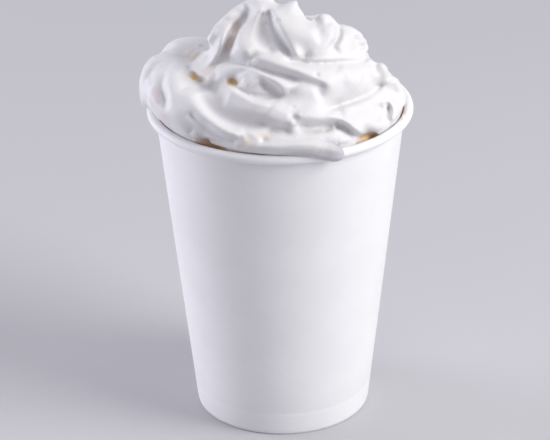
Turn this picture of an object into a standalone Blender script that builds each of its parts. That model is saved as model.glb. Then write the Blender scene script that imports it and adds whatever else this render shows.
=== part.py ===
"""Paper cup of caffe mocha with a piped whipped cream top, built in metres, +Z up."""
import math

import bpy
import bmesh
import numpy as np
from mathutils import Matrix

MM = 0.001

# ---- cup ---------------------------------------------------------------
HEIGHT = 112.0            # foot to the top of the rolled rim
RIM_RADIUS = 45.0         # outside of the rolled rim
BEAD = 1.6                # outside radius of the rim roll
BASE_RADIUS = 30.05       # outside of the foot
BOARD = 0.4               # paper board thickness
GAP = 0.3                 # clearance between touching pieces
HEM_HEIGHT = 8.6          # wall turned up inside the foot
BASE_LIFT = 9.6           # underside of the recessed base above the table
SKIRT = 6.6               # turned-down edge of the base
TURNS = 60                # steps of every turned shape

# ---- contents ----------------------------------------------------------
FILL_BELOW_RIM = 2.5      # drink surface under the top of the rim
CREAM_TRIANGLES = 8200

BEAD_RADIUS = RIM_RADIUS - BEAD
BEAD_HEIGHT = HEIGHT - BEAD
WALL_TOP = BEAD_RADIUS - BEAD + BOARD / 2
WALL_FOOT = BASE_RADIUS - BOARD / 2
TAPER = (WALL_TOP - WALL_FOOT) / BEAD_HEIGHT


def wall_centre(height):
    """Radius of the middle of the board at a height."""
    return WALL_FOOT + TAPER * height


def clear_scene():
    for item in list(bpy.data.objects):
        bpy.data.objects.remove(item, do_unlink=True)
    for collection in list(bpy.data.collections):
        bpy.data.collections.remove(collection)


def new_collection(name):
    collection = bpy.data.collections.new(name)
    bpy.context.scene.collection.children.link(collection)
    return collection


def material(name, colour, roughness, metallic=0.0):
    made = bpy.data.materials.new(name)
    made.use_nodes = True
    shader = made.node_tree.nodes["Principled BSDF"]
    shader.inputs["Base Color"].default_value = (*colour, 1.0)
    shader.inputs["Roughness"].default_value = roughness
    shader.inputs["Metallic"].default_value = metallic
    return made


def mesh_object(name, vertices, faces, collection, look=None, edges=()):
    data = bpy.data.meshes.new(name)
    data.from_pydata([tuple(MM * c for c in v) for v in vertices], list(edges), list(faces))
    data.update()
    made = bpy.data.objects.new(name, data)
    collection.objects.link(made)
    if look is not None:
        data.materials.append(look)
    return made


def turned(name, profile, collection, look=None):
    """Screw a profile of (radius, height) points about +Z."""
    vertices = [(r, 0.0, z) for r, z in profile]
    edges = [(k, k + 1) for k in range(len(vertices) - 1)]
    made = mesh_object(name, vertices, (), collection, look, edges)
    screw = made.modifiers.new("Turn", "SCREW")
    screw.axis = "Z"
    screw.steps = TURNS
    screw.render_steps = TURNS
    screw.use_merge_vertices = True
    screw.merge_threshold = 0.00001
    return made


def apply_modifiers(item):
    depsgraph = bpy.context.evaluated_depsgraph_get()
    data = bpy.data.meshes.new_from_object(item.evaluated_get(depsgraph))
    item.modifiers.clear()
    item.data = data
    return item


def boolean(item, other, operation, solver="EXACT"):
    cut = item.modifiers.new(operation.title(), "BOOLEAN")
    cut.operation = operation
    cut.solver = solver
    cut.object = other
    return cut


def as_cutter(item):
    item.hide_render = True
    item.display_type = "WIRE"
    return item


# ---- cup wall: one sheet, hem - foot - wall - rolled rim ----------------
def wall_profile():
    step = BOARD + 2 * GAP + BOARD + BOARD
    half = step / 2
    middle = wall_centre(half) - half
    low = BOARD / 2
    hem = [
        (wall_centre(HEM_HEIGHT) - step, HEM_HEIGHT),
        (middle - half, low + 0.8 * half),
        (middle - 0.6 * half, low),
        (middle + 0.6 * half, low),
        (middle + half, low + 0.8 * half),
    ]
    roll = BEAD - BOARD / 2
    rim = []
    for k in range(0, 11):
        turn = math.radians(180.0 - 29.0 * k)
        rim.append((BEAD_RADIUS + roll * math.cos(turn), BEAD_HEIGHT + roll * math.sin(turn)))
    return hem + rim


def build_wall(collection, look):
    wall = turned("cup_wall", wall_profile(), collection, look)
    board = wall.modifiers.new("Board", "SOLIDIFY")
    board.thickness = BOARD * MM
    board.offset = 0.0
    board.use_even_offset = True
    return wall


# ---- cup base: recessed disc with its edge turned down -------------------
def build_base(collection, look):
    out = wall_centre(BASE_LIFT) - BOARD / 2 - GAP
    low = BASE_LIFT - SKIRT
    out_low = wall_centre(low) - BOARD / 2 - GAP
    top = BASE_LIFT + BOARD
    profile = [
        (0.0, top),
        (out - 0.5, top),
        (out, top - 0.5),
        (out_low, low),
        (out_low - BOARD, low),
        (out - BOARD - 0.1, BASE_LIFT - 0.5),
        (out - BOARD - 0.6, BASE_LIFT),
        (0.0, BASE_LIFT),
    ]
    return turned("cup_base", profile, collection, look)


# ---- drink: solid from the base to its level -----------------------------
def build_drink(collection, look):
    low = BASE_LIFT + BOARD + GAP
    level = HEIGHT - FILL_BELOW_RIM
    inside = BOARD / 2 + GAP
    neck = BEAD_HEIGHT - 0.4
    profile = [
        (0.0, level),
        (wall_centre(neck) - inside - 0.15, level),
        (wall_centre(low) - inside, low),
        (0.0, low),
    ]
    return turned("mocha", profile, collection, look)


# ---- whipped cream -------------------------------------------------------
# One rope of cream piped clockwise, from its start low at the front up to the peak:
# (way round in degrees, radius, height above the rim, half thickness).
ROPE = [
    (259, 41.0, 1.0, 4.0), (246, 38.5, 2.5, 6.5), (230, 37.0, 4.0, 8.5), (215, 36.3, 6.0, 10.0),
    (198, 36.6, 7.4, 11.3), (180, 36.6, 7.8, 11.5), (160, 35.0, 7.5, 11.2), (140, 33.2, 6.2, 10.4),
    (110, 32.5, 4.0, 9.5), (75, 33.0, 2.5, 9.5), (40, 33.5, 1.0, 9.5), (10, 34.2, 0.0, 9.5),
    (-15, 34.2, 0.0, 9.5), (-40, 33.0, 0.4, 9.8), (-60, 32.5, 1.2, 9.8), (-80, 31.5, 4.0, 9.6),
    (-100, 28.5, 7.5, 10.0), (-120, 25.5, 10.0, 10.0), (-150, 22.5, 11.5, 10.0), (-190, 21.0, 11.5, 9.5),
    (-230, 20.0, 11.0, 9.5), (-270, 20.5, 10.5, 9.5), (-310, 22.5, 10.0, 9.0), (-345, 24.0, 9.8, 9.0),
    (-370, 25.0, 11.0, 9.3), (-395, 25.5, 13.0, 10.0), (-420, 23.5, 14.5, 10.5), (-450, 21.0, 16.5, 10.5),
    (-480, 17.5, 19.0, 10.5), (-510, 15.5, 21.0, 11.0), (-540, 15.6, 22.6, 11.4), (-580, 12.5, 20.5, 10.0),
    (-620, 12.0, 18.6, 9.5), (-660, 13.8, 18.6, 9.3), (-700, 16.3, 19.2, 9.3), (-730, 17.2, 21.0, 9.2),
    (-760, 15.5, 24.0, 9.5), (-790, 12.0, 27.0, 9.0), (-820, 8.5, 30.0, 8.0), (-850, 6.0, 33.0, 6.5),
    (-880, 4.5, 36.3, 4.2), (-905, 4.0, 38.5, 2.3), (-920, 3.5, 40.2, 0.9),
]
# Sideways lean of the heap by height above the rim.
LEAN = [(-5.0, 0.0), (10.0, 0.0), (23.0, 2.4), (31.0, 1.0), (41.0, -2.5)]
# Loose tail of the rope, lying over the rim: azimuth, radius, height above the rim, half thickness.
TAIL = [(240, 41.0, 1.4, 1.2), (254, 43.0, 2.1, 1.6), (268, 43.8, 2.3, 2.0), (280, 44.2, 2.5, 2.8),
        (288, 44.9, 1.9, 3.3), (293, 45.6, 0.6, 2.9), (294.5, 46.0, -0.8, 1.8)]
FLUTE = 4.0               # how far the rope stands back between its folds
FOLD_LIFT = 1.3           # common factor on the fold heights
VOXEL = 0.85

# Folds left by the star nozzle on the near side: three guide points of
# (azimuth, radius, height above the rim), then height and half width.
NEAR_FOLDS = [
    ((185, 9, 38), (176, 24, 31), (221, 27, 19), 5.4, 7.0),
    ((231, 26, 21), (264, 28, 26), (275, 32, 17), 4.4, 6.0),
    ((232, 8, 39), (210, 20, 27), (262, 26, 26), 4.6, 6.5),
    ((253, 25, 26), (286, 28, 26), (306, 35, 17), 4.2, 6.0),
    ((249, 8, 39), (283, 19, 33), (285, 25, 26), 4.4, 6.0),
    ((283, 25, 26), (303, 27, 25), (339, 29, 21), 4.0, 5.5),
    ((279, 6, 38), (294, 17, 35), (303, 20, 33), 4.4, 4.5),
    ((-42, 5, 38), (-34, 13, 38), (-40, 18, 33), 5.0, 4.0),
    ((-23, 15, 32), (-42, 26, 31), (-70, 23, 26), 3.8, 4.5),
    ((-10, 20, 31), (-33, 28, 28), (-49, 25, 25), 3.8, 4.5),
    ((-10, 24, 31), (6, 29, 25), (-20, 30, 20), 4.4, 5.5),
    ((222, 32, 17), (261, 37, 16), (279, 39, 11), 5.8, 7.5),
    ((-9, 36, 10), (-61, 33, 12), (-80, 38, 11), 3.6, 5.0),
    ((-25, 33, 20), (4, 35, 13), (-3, 36, 9), 4.2, 5.5),
    ((183, 33, 19), (245, 47, 11), (257, 43, 3), 4.8, 7.5),
    ((165, 32, 19), (233, 47, 16), (244, 44, 5), 3.4, 5.0),
    ((183, 43, 17), (188, 50, 13), (199, 48, 6), 5.2, 6.5),
    ((200, 47, 8), (218, 46, 6), (230, 45, 2), 4.4, 5.5),
    ((138, 31, 15), (152, 36, 19), (172, 38, 20), 5.0, 6.0),
    ((261, 39, 7), (287, 36, 15), (308, 41, 4), 4.4, 6.0),
    ((307, 42, 4), (321, 43, 2), (337, 42, 6), 3.0, 4.5),
    ((-6, 38, 9), (-9, 43, 7), (-10, 44, 2), 4.2, 5.5),
]
# The same folds carried on round the far side of each turn of the rope:
# first way, last way, folds, sweep of one fold, height, half width.
FAR_TURNS = [(148, 8, 5, 62, 4.2, 6.5), (-235, -365, 4, 66, 4.0, 6.5), (-585, -700, 4, 70, 3.8, 6.0)]


def smooth_path(points, steps):
    """Catmull-Rom curve through the points."""
    p = np.array(points, float)
    q = np.vstack([2 * p[0] - p[1], p, 2 * p[-1] - p[-2]])
    out = []
    for a, b, c, d in zip(q, q[1:], q[2:], q[3:]):
        for t in np.arange(steps) / steps:
            out.append(0.5 * (2 * b + (c - a) * t + (2 * a - 5 * b + 4 * c - d) * t ** 2
                              + (3 * b - a - 3 * c + d) * t ** 3))
    out.append(p[-1])
    return np.array(out)


def place(azimuth, radius, height):
    """Point in mm from azimuth, radius and height above the rim."""
    turn = np.radians(azimuth)
    return np.stack([radius * np.cos(turn), radius * np.sin(turn), HEIGHT + height + 0 * turn], axis=-1)


def lean_at(height):
    table = np.array(LEAN)
    return np.interp(height, table[:, 0], table[:, 1])


def rope_path():
    path = smooth_path(ROPE, 5)
    centre = place(path[:, 0], path[:, 1], path[:, 2])
    centre[:, 0] += lean_at(path[:, 2])
    return path[:, 0], centre, path[:, 3]


def bowed(a, b, c, count=24):
    """Quadratic curve from three guide points."""
    u = np.linspace(0.0, 1.0, count)[:, None]
    a, b, c = (np.array(p, float) for p in (a, b, c))
    return (1 - u) ** 2 * a + 2 * u * (1 - u) * b + u ** 2 * c


def far_fold(way, sweep):
    """Fold that runs from the inner top of the rope to its outer underside."""
    ways, centre, size = rope_path()
    u = np.linspace(0.0, 1.0, 24)
    at = way + sweep * u
    section = np.radians(115.0 - 150.0 * u)
    middle = np.stack([np.interp(-at, -ways, centre[:, k]) for k in range(3)], axis=-1)
    reach = np.interp(-at, -ways, size)
    turn = np.radians(at)
    out = np.stack([np.cos(turn), np.sin(turn), 0 * turn], axis=-1)
    lift = np.array([0.0, 0.0, 1.0])
    return middle + reach[:, None] * (np.cos(section)[:, None] * out + np.sin(section)[:, None] * lift)


def all_folds():
    folds = []
    for a, b, c, height, width in NEAR_FOLDS:
        guide = bowed(a, b, c)
        folds.append((place(guide[:, 0], guide[:, 1], guide[:, 2]), height, width))
    for first, last, count, sweep, height, width in FAR_TURNS:
        for k in range(count):
            way = first + (last - first) * k / (count - 1)
            folds.append((far_fold(way, sweep), height, width))
    return folds


def fold_rise(points, normals, curve, height, width):
    """Height a fold adds at each point: sharp crest, hollow flanks, faded ends."""
    rise = np.zeros(len(points))
    near = np.flatnonzero(((points > curve.min(0) - 1.6 * width) & (points < curve.max(0) + 1.6 * width)).all(1))
    if not len(near):
        return rise
    p, n = points[near], normals[near]
    best = np.full(len(p), 1e9)
    place_on = np.zeros(len(p))
    below = np.zeros(len(p))
    for k in range(len(curve) - 1):
        a, b = curve[k], curve[k + 1]
        along = np.clip((p - a) @ (b - a) / ((b - a) @ (b - a)), 0.0, 1.0)
        away = p - (a + along[:, None] * (b - a))
        through = np.einsum("ij,ij->i", away, n)
        gap = np.sqrt(np.maximum((away ** 2).sum(1) - 0.8 * through ** 2, 0.0))
        closer = gap < best
        best = np.where(closer, gap, best)
        place_on = np.where(closer, (k + along) / (len(curve) - 1), place_on)
        outward = away[:, 0] * p[:, 0] + away[:, 1] * p[:, 1]
        outward = outward / np.hypot(p[:, 0], p[:, 1]).clip(1.0)
        below = np.where(closer, outward - away[:, 2], below)
    fade = np.clip(np.minimum(place_on / 0.15, (1.0 - place_on) / 0.15), 0.0, 1.0)
    fade = 0.3 + 0.7 * fade * (2.0 - fade)
    spread = width * (1.0 - 0.22 * np.tanh(below / 2.0))
    reach = np.sqrt(best ** 2 + 0.05) / spread
    rise[near] = height * fade * np.clip(1.0 - reach, 0.0, 1.0) ** 1.8
    return rise


def eased(values, ends, rounds):
    """Average values over neighbouring points."""
    share = np.bincount(ends.ravel(), minlength=len(values)).clip(1)
    for _ in range(rounds):
        summed = np.zeros_like(values)
        np.add.at(summed, ends[:, 0], values[ends[:, 1]])
        np.add.at(summed, ends[:, 1], values[ends[:, 0]])
        values = 0.5 * values + 0.5 * (summed.T / share).T
    return values


def raise_folds(item):
    """Push the skin of the rope out into its folds."""
    data = item.data
    count = len(data.vertices)
    points = np.empty(count * 3)
    normals = np.empty(count * 3)
    data.vertices.foreach_get("co", points)
    data.vertices.foreach_get("normal", normals)
    points = points.reshape(-1, 3) / MM
    normals = normals.reshape(-1, 3)
    total = np.zeros(count)
    for curve, height, width in all_folds():
        total += fold_rise(points, normals, curve, FOLD_LIFT * height, width) ** 5
    total = total ** 0.2
    ends = np.empty(len(data.edges) * 2, dtype=np.int64)
    data.edges.foreach_get("vertices", ends)
    ends = ends.reshape(-1, 2)
    total = eased(total, ends, 2)
    normals = eased(normals, ends, 6)
    out = points * np.array([1.0, 1.0, 0.0])
    out /= np.linalg.norm(out, axis=1).clip(4.0)[:, None]
    push = normals + 0.35 * out - np.array([0.0, 0.0, 0.25])
    push /= np.linalg.norm(push, axis=1)[:, None]
    moved = (points + total[:, None] * push) * MM
    data.vertices.foreach_set("co", moved.ravel())
    data.update()


def tube(name, centres, sizes, collection, sides=20):
    """Round tube with closed, rounded ends through the centres."""
    points, faces = [], []
    count = len(centres)
    for k in range(count):
        ahead = centres[min(k + 1, count - 1)] - centres[max(k - 1, 0)]
        ahead = ahead / np.linalg.norm(ahead)
        side = np.cross(ahead, (0.0, 0.0, 1.0))
        side = side / np.linalg.norm(side)
        up = np.cross(side, ahead)
        for t in np.arange(sides) * 2 * math.pi / sides:
            points.append(centres[k] + sizes[k] * (math.cos(t) * side + math.sin(t) * up))
    for k in range(count - 1):
        for t in range(sides):
            n = (t + 1) % sides
            faces.append((k * sides + t, k * sides + n, (k + 1) * sides + n, (k + 1) * sides + t))
    for k, way in ((0, 1), (count - 1, -1)):
        ahead = centres[k] - centres[k + way]
        ahead = ahead / np.linalg.norm(ahead)
        points.append(centres[k] + 0.5 * sizes[k] * ahead)
        for t in range(sides):
            n = (t + 1) % sides
            edge = (k * sides + n, k * sides + t) if way == 1 else (k * sides + t, k * sides + n)
            faces.append((*edge, len(points) - 1))
    return mesh_object(name, points, faces, collection)


def cream_body(collection):
    """The rope, the fill inside it and its loose tail, as one closed mesh."""
    ways, centres, sizes = rope_path()
    rope = tube("rope", centres, sizes - np.minimum(FLUTE, 0.36 * sizes), collection)
    tail_path = smooth_path(TAIL, 4)
    tail = tube("tail", place(tail_path[:, 0], tail_path[:, 1], tail_path[:, 2]), tail_path[:, 3], collection, 14)
    fill = turned("fill", [(0.0, HEIGHT + 2.5), (37.0, HEIGHT + 2.0), (39.5, HEIGHT - 2.2), (0.0, HEIGHT - 2.2)],
                  collection)
    heart = turned("heart", [(0.0, HEIGHT + 36.5), (4.0, HEIGHT + 34.0), (11.0, HEIGHT + 28.5), (17.0, HEIGHT + 22.0),
                             (20.5, HEIGHT + 15.0), (28.0, HEIGHT + 6.0), (30.0, HEIGHT), (0.0, HEIGHT)], collection)
    apply_modifiers(fill)
    apply_modifiers(heart)
    heart.data.transform(Matrix.Translation((-3.0 * MM, -2.0 * MM, 0.0)))
    work = bmesh.new()
    for item in (rope, tail, fill, heart):
        part = bmesh.new()
        part.from_mesh(item.data)
        bmesh.ops.recalc_face_normals(part, faces=part.faces)
        part.to_mesh(item.data)
        part.free()
        work.from_mesh(item.data)
    data = bpy.data.meshes.new("whipped_cream")
    work.to_mesh(data)
    work.free()
    for item in (rope, tail, fill, heart):
        bpy.data.objects.remove(item, do_unlink=True)
    return data


def keep_largest(item):
    """Drop crumbs a cut leaves loose, and weld points that fall together."""
    work = bmesh.new()
    work.from_mesh(item.data)
    bmesh.ops.remove_doubles(work, verts=work.verts, dist=0.00002)
    seen = set()
    groups = []
    for seed in work.verts:
        if seed in seen:
            continue
        group = [seed]
        seen.add(seed)
        for vert in group:
            for edge in vert.link_edges:
                other = edge.other_vert(vert)
                if other not in seen:
                    seen.add(other)
                    group.append(other)
        groups.append(group)
    groups.sort(key=len)
    for group in groups[:-1]:
        bmesh.ops.delete(work, geom=group, context="VERTS")
    bmesh.ops.triangulate(work, faces=work.faces)
    work.to_mesh(item.data)
    work.free()


def build_cream(collection, cutters, look):
    cream = bpy.data.objects.new("whipped_cream", cream_body(cutters))
    collection.objects.link(cream)
    skin = cream.modifiers.new("Skin", "REMESH")
    skin.mode = "VOXEL"
    skin.voxel_size = VOXEL * MM
    settle = cream.modifiers.new("Settle", "SMOOTH")
    settle.factor = 0.5
    settle.iterations = 24
    apply_modifiers(cream)
    keep_largest(cream)
    raise_folds(cream)
    cream.data.materials.clear()
    cream.data.materials.append(look)
    thin = cream.modifiers.new("Thin", "DECIMATE")
    thin.ratio = CREAM_TRIANGLES / sum(len(p.vertices) - 2 for p in cream.data.polygons)
    apply_modifiers(cream)

    grown = BEAD + GAP
    under = HEIGHT - FILL_BELOW_RIM + GAP
    outline = [(0.0, under), (BEAD_RADIUS - grown, under)]
    for t in range(180, -91, -15):
        turn = math.radians(t)
        outline.append((BEAD_RADIUS + grown * math.cos(turn), BEAD_HEIGHT + grown * math.sin(turn)))
    outline += [(BEAD_RADIUS, HEIGHT - 14.0), (0.0, HEIGHT - 14.0)]
    clearance = as_cutter(turned("cup_clearance", outline, cutters))
    apply_modifiers(clearance)
    boolean(cream, clearance, "DIFFERENCE")
    apply_modifiers(cream)
    keep_largest(cream)
    return cream


def main():
    clear_scene()
    parts = new_collection("caffe_mocha")
    cutters = new_collection("cutters")
    paper = material("white_paper", (0.84, 0.84, 0.85), 0.55)
    drink = material("mocha", (0.33, 0.14, 0.055), 0.25)
    foam = material("whipped_cream", (0.90, 0.88, 0.85), 0.5)
    build_wall(parts, paper)
    build_base(parts, paper)
    build_drink(parts, drink)
    build_cream(parts, cutters, foam)


main()
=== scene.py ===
import math

import bpy
import bmesh
import numpy as np
from mathutils import Matrix, Vector, bvhtree


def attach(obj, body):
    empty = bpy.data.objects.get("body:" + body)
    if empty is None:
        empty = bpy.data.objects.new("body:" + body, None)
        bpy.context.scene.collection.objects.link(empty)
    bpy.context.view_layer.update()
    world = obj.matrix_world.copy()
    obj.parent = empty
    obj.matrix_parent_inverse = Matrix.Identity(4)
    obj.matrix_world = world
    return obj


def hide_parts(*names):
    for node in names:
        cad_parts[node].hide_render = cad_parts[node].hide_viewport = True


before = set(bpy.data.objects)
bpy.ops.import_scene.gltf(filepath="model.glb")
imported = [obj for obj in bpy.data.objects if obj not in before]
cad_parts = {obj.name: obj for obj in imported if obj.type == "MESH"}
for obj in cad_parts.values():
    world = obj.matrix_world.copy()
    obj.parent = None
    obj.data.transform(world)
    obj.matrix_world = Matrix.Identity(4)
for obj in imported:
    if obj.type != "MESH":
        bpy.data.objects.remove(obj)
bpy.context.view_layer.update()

MM = 0.001

# ---- driving sizes, in millimetres ----
CUP_HEIGHT = 112.0
RIM_RADIUS = 45.0
BEAD = 1.6
FOOT_RADIUS = 30.05
BOARD = 0.4
GAP = 0.3  # clearance between one solid and the next
HEM_HEIGHT = 8.6  # top edge of the board folded in under the base
LEVEL = CUP_HEIGHT - 2.5  # drink surface
AROUND = 180  # steps round the cup and the drink
# Fold at the foot, outward and upward, by half its width.
FOOT_FOLD = [(-1.0, 1.0), (-0.85, 0.4), (-0.5, 0.0), (0.5, 0.0), (0.85, 0.4), (1.0, 1.0)]
HEM_CREASE = [(8.2, 0.0), (8.7, 0.10), (9.2, 0.0)]  # line pressed in over the hem: height and depth
RIM_CREASE = [(107.0, 0.0), (108.2, 0.06)]  # line under the rim roll
WALL_STEP = 8.0  # height between the rings of the plain wall
ROLL_STEPS = 24
ROLL_TURN = 12.3  # degrees of each step of the rim roll
MENISCUS = [(34.0, 0.0), (38.0, 0.02), (40.4, 0.10), (41.2, 0.30)]  # radius and rise over the level
CLIMB = 0.75  # how far the drink climbs at the wall
INTO_WALL = 0.05  # how far inside the middle of the board the drink's edge lies
DRINK_FOOT = 10.3  # height of the drink's underside

BEAD_RADIUS = RIM_RADIUS - BEAD
BEAD_HEIGHT = CUP_HEIGHT - BEAD
WALL_TOP = BEAD_RADIUS - BEAD + BOARD / 2
WALL_FOOT = FOOT_RADIUS - BOARD / 2
TAPER = (WALL_TOP - WALL_FOOT) / BEAD_HEIGHT


def wall_centre(height):
    """Radius of the middle of the board at a height."""
    return WALL_FOOT + TAPER * height


# ---- modelling steps: selection, modifiers, rings ----
def only(item):
    """Select one item and make it the active one."""
    bpy.ops.object.select_all(action="DESELECT")
    item.select_set(True)
    bpy.context.view_layer.objects.active = item


def modified(item, *rows):
    """Add modifiers and apply them: rows of name, kind and settings."""
    for name, kind, settings in rows:
        modifier = item.modifiers.new(name, kind)
        for setting, value in settings.items():
            setattr(modifier, setting, value)
    only(item)
    for name, _, _ in rows:
        bpy.ops.object.modifier_apply(modifier=name)


def voxels(size):
    """Settings of a remesh with a grid of a size in mm."""
    return {"mode": "VOXEL", "voxel_size": size * MM}


def named(name):
    item = bpy.context.object
    item.name = name
    item.data.name = name
    return item


def face_outward():
    """Turn every face of the mesh in hand outward, and leave edit mode."""
    bpy.ops.mesh.select_all(action="SELECT")
    bpy.ops.mesh.normals_make_consistent(inside=False)
    bpy.ops.object.mode_set(mode="OBJECT")


def ringed(name, profile, around=AROUND, closed_top=False, closed_foot=False):
    """Draw a circle and extrude it ring by ring along a profile of (radius, height)."""
    radius, height = profile[0]
    bpy.ops.object.select_all(action="DESELECT")
    bpy.ops.mesh.primitive_circle_add(vertices=around, radius=radius * MM, location=(0, 0, 0))
    item = named(name)
    bpy.ops.object.mode_set(mode="EDIT")
    bpy.ops.mesh.select_all(action="SELECT")
    bpy.ops.transform.translate(value=(0, 0, height * MM))
    if closed_top:
        bpy.ops.mesh.edge_face_add()
        bpy.ops.mesh.select_all(action="SELECT")
        bpy.ops.mesh.inset(thickness=radius * 0.5 * MM, depth=0)
        bpy.ops.mesh.select_all(action="DESELECT")
        bpy.ops.mesh.select_non_manifold(extend=False)
    for next_radius, next_height in profile[1:]:
        bpy.ops.mesh.extrude_region_move()
        bpy.ops.transform.translate(value=(0, 0, (next_height - height) * MM))
        grow = next_radius / radius
        bpy.ops.transform.resize(value=(grow, grow, 1), center_override=(0, 0, 0))
        radius, height = next_radius, next_height
    if closed_foot:
        bpy.ops.mesh.edge_face_add()
    face_outward()
    return item


def smooth(item, angle):
    only(item)
    bpy.ops.object.shade_smooth_by_angle(angle=math.radians(angle))


def place_piece(item, slot, *nodes):
    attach(item, "root")
    if nodes:
        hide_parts(*nodes)


# ---- materials ----
PAPER_TONES = {"Tone_A": (0.86, 0.86, 0.866), "Tone_B": (0.89, 0.89, 0.895)}
PAPER_FLECKS = (0.82, 0.82, 0.828)
CREAM_TONES = {"Tone_A": (0.745, 0.738, 0.736), "Tone_B": (0.775, 0.77, 0.766)}
SOAKED_CREAM = (0.52, 0.34, 0.23)
SOAK = 0.8  # strength of that tone
SOAK_HEIGHTS = (0.2, 2.6)  # above the drink, in mm: fully soaked, and clean
SOAK_RADII = (41.6, 42.6)  # in mm: soaked up to the first, clean from the second
DRINK_TONES = {"Tone_A": (0.46, 0.25, 0.145), "Tone_B": (0.64, 0.38, 0.24)}
DRINK_FOAM = (0.80, 0.60, 0.44)
SATIN = {"Smoothest": 0.46, "Roughest": 0.60}
WET = {"Smoothest": 0.18, "Roughest": 0.42}
COFFEE = (0.80, 0.52, 0.33)
GOLD = (0.74, 0.54, 0.25)
TAN = (0.77, 0.67, 0.585)
ROSE = (0.75, 0.64, 0.70)
SHADE = (0.60, 0.52, 0.50)
SHADOW = (0.50, 0.485, 0.52)
# Patches on the cream: stains where the drink has soaked in (COFFEE, GOLD, TAN), rose-tinted patches
# (ROSE), and painted shade (SHADE, SHADOW) in the left petal's deep bowl and under the loose tail;
# tone, strength, centre in mm, stretch along each axis, and reach in mm.
CREAM_STAINS_AND_SHADE = [
    (COFFEE, 0.90, (-24.0, -30.5, 111.4), (1.6, 1.6, 1.0), 3.4),
    (COFFEE, 0.90, (-18.6, -34.0, 111.0), (1.6, 1.6, 1.0), 3.4),
    (COFFEE, 0.60, (-13.5, -39.0, 111.4), (1.8, 1.0, 0.7), 2.2),
    (GOLD, 0.90, (-28.2, -12.6, 126.9), (1.3, 1.2, 0.7), 2.6),
    (TAN, 0.90, (-25.8, -14.0, 126.0), (1.3, 1.3, 0.8), 2.4),
    (GOLD, 0.90, (-15.2, -22.2, 128.8), (1.3, 1.2, 0.8), 2.4),
    # painted shade: darker cream laid in the deep bowl of the left petal
    (SHADE, 0.90, (-14.6, -7.0, 142.0), (1.0, 1.2, 1.6), 3.2),
    (SHADE, 0.90, (-15.6, -12.0, 137.2), (1.0, 1.2, 2.2), 3.4),
    (TAN, 0.80, (-28.7, 3.1, 127.6), (1.4, 1.6, 1.0), 2.6),
    (TAN, 0.50, (-23.0, -16.0, 130.7), (1.3, 1.3, 1.0), 2.8),
    (TAN, 0.70, (-11.3, -42.2, 116.4), (1.2, 1.2, 1.2), 2.0),
    (TAN, 0.45, (-5.0, -41.2, 118.0), (1.6, 1.2, 0.8), 2.4),
    (GOLD, 0.95, (26.6, -28.0, 111.6), (1.3, 1.2, 0.8), 2.6),
    (GOLD, 0.95, (29.4, -25.8, 111.4), (1.3, 1.2, 0.8), 2.4),
    (ROSE, 0.60, (-41.5, -19.4, 123.0), (1.0, 1.4, 1.3), 3.4),
    (ROSE, 0.50, (-38.0, -26.0, 117.2), (1.2, 1.2, 1.2), 3.6),
    (TAN, 0.80, (8.5, -45.0, 113.0), (2.0, 1.0, 0.5), 1.8),
    # painted shadow: darker cream laid under the loose tail where it hangs over the rim
    (SHADOW, 0.90, (17.5, -42.0, 112.4), (1.2, 1.0, 0.9), 7.0),
    (SHADOW, 0.50, (7.0, -45.2, 112.6), (2.6, 1.0, 0.7), 4.4),
]
# Drink stains on the rim of the cup, in the same columns.
RIM_STAINS = [
    (TAN, 0.90, (39.7, -14.4, 111.4), (0.7, 1.6, 1.0), 2.6),
    (TAN, 0.90, (41.5, -8.0, 111.3), (0.5, 2.2, 1.0), 2.4),
    (TAN, 0.70, (42.0, -2.0, 111.2), (0.4, 2.2, 1.0), 2.0),
]
RAGGED = 1.4  # how far the edge of each patch, stain and painted shade alike, strays, as a share of its reach
RAGGED_MOST = 3.2  # and at most, in mm


def new_material(name, **sockets):
    made = bpy.data.materials.new(name)
    made.use_nodes = True
    shader = made.node_tree.nodes["Principled BSDF"]
    for socket, value in sockets.items():
        shader.inputs[socket.replace("_", " ")].default_value = value
    return made, made.node_tree, shader


def linked(tree, shader, **outputs):
    """Link outputs to the shader's inputs of those names."""
    for label, output in outputs.items():
        tree.links.new(output, shader.inputs[label.replace("_", " ")])


def fed(tree, value, socket):
    """Link a socket, or set it to a number or a colour."""
    if isinstance(value, bpy.types.NodeSocket):
        tree.links.new(value, socket)
    elif isinstance(value, tuple) and socket.type == "RGBA":
        socket.default_value = (*value, 1.0)
    else:
        socket.default_value = value


def noise(tree, scale, detail=3.0, roughness=0.5, vector=None):
    node = tree.nodes.new("ShaderNodeTexNoise")
    fed(tree, scale, node.inputs["Scale"])
    node.inputs["Detail"].default_value = detail
    node.inputs["Roughness"].default_value = roughness
    tree.links.new(vector, node.inputs["Vector"])
    return node.outputs["Fac"]


def spread(tree, value, low, high, to_low, to_high, smooth_step=False):
    node = tree.nodes.new("ShaderNodeMapRange")
    if smooth_step:
        node.interpolation_type = "SMOOTHSTEP"
    for label, bound in (("From Min", low), ("From Max", high), ("To Min", to_low), ("To Max", to_high)):
        fed(tree, bound, node.inputs[label])
    tree.links.new(value, node.inputs["Value"])
    return node.outputs["Result"]


def maths(tree, kind, *values):
    node = tree.nodes.new("ShaderNodeMath")
    node.operation = kind
    for socket, value in zip(node.inputs, values):
        fed(tree, value, socket)
    return node.outputs[0]


def vectors(tree, kind, *values):
    """Outputs of a vector math node."""
    node = tree.nodes.new("ShaderNodeVectorMath")
    node.operation = kind
    for socket, value in zip(node.inputs, values):
        fed(tree, value, socket)
    return node.outputs


def mixed(tree, amount, a, b):
    """Colour between two colours."""
    node = tree.nodes.new("ShaderNodeMix")
    node.data_type = "RGBA"
    for socket, value in ((node.inputs[0], amount), (node.inputs[6], a), (node.inputs[7], b)):
        fed(tree, value, socket)
    return node.outputs[2]


def bumped(tree, height, depth, strength=1.0):
    node = tree.nodes.new("ShaderNodeBump")
    node.inputs["Strength"].default_value = strength
    node.inputs["Distance"].default_value = depth
    tree.links.new(height, node.inputs["Height"])
    return node.outputs["Normal"]


def object_place(tree):
    return tree.nodes.new("ShaderNodeTexCoord").outputs["Object"]


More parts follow.
